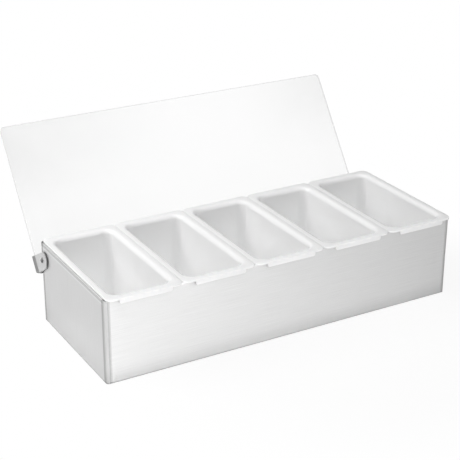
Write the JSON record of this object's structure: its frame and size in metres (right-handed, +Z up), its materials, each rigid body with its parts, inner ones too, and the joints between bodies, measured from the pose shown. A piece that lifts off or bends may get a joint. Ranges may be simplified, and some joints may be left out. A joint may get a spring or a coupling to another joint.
{
  "type": "condiment caddy",
  "caption": "Stainless countertop condiment box with a row of lift-out white plastic inserts under a clear lid hinged on riveted ears.",
  "frame": {"origin": "centre of the box's underside, on the surface it stands on", "axes": "+X along the row of inserts to the right, +Y to the rear where the lid is hinged, +Z up"},
  "size_m": [0.3912, 0.2519, 0.1711],
  "materials": {
    "box_steel": "fine lengthwise brushing",
    "bracket_steel": "satin",
    "bright_steel": "polished",
    "insert_plastic": "semi-gloss moulded white",
    "lid_acrylic": "clear, polished edges",
    "washer_nylon": "natural nylon"
  },
  "bodies": {
    "caddy": {"body_shell": "box_steel", "left_end_panel": "box_steel", "right_end_panel": "box_steel", "left_pivot_rivet": "bright_steel", "right_pivot_rivet": "bright_steel", "left_pivot_washer": "washer_nylon", "right_pivot_washer": "washer_nylon"},
    "lid": {"lid_panel": "lid_acrylic", "hinge_bracket": "bracket_steel", "lid_screws": "bright_steel", "lid_nuts": "bright_steel"},
    "insert_1": {"insert_1": "insert_plastic"},
    "insert_2": {"insert_2": "insert_plastic"},
    "insert_3": {"insert_3": "insert_plastic"},
    "insert_4": {"insert_4": "insert_plastic"},
    "insert_5": {"insert_5": "insert_plastic"}
  },
  "joints": [
    {"name": "lid_hinge", "type": "hinge", "parent": "caddy", "child": "lid", "pos_m": [0, 0.068, 0.067], "axis": [-1, 0, 0], "range_deg": [-127.5, 0]},
    {"name": "insert_1_lift", "type": "slide", "parent": "caddy", "child": "insert_1", "axis": [0, 0, 1], "range_m": [0, 0.09]},
    {"name": "insert_2_lift", "type": "slide", "parent": "caddy", "child": "insert_2", "axis": [0, 0, 1], "range_m": [0, 0.09]},
    {"name": "insert_3_lift", "type": "slide", "parent": "caddy", "child": "insert_3", "axis": [0, 0, 1], "range_m": [0, 0.09]},
    {"name": "insert_4_lift", "type": "slide", "parent": "caddy", "child": "insert_4", "axis": [0, 0, 1], "range_m": [0, 0.09]},
    {"name": "insert_5_lift", "type": "slide", "parent": "caddy", "child": "insert_5", "axis": [0, 0, 1], "range_m": [0, 0.09]}
  ]
}
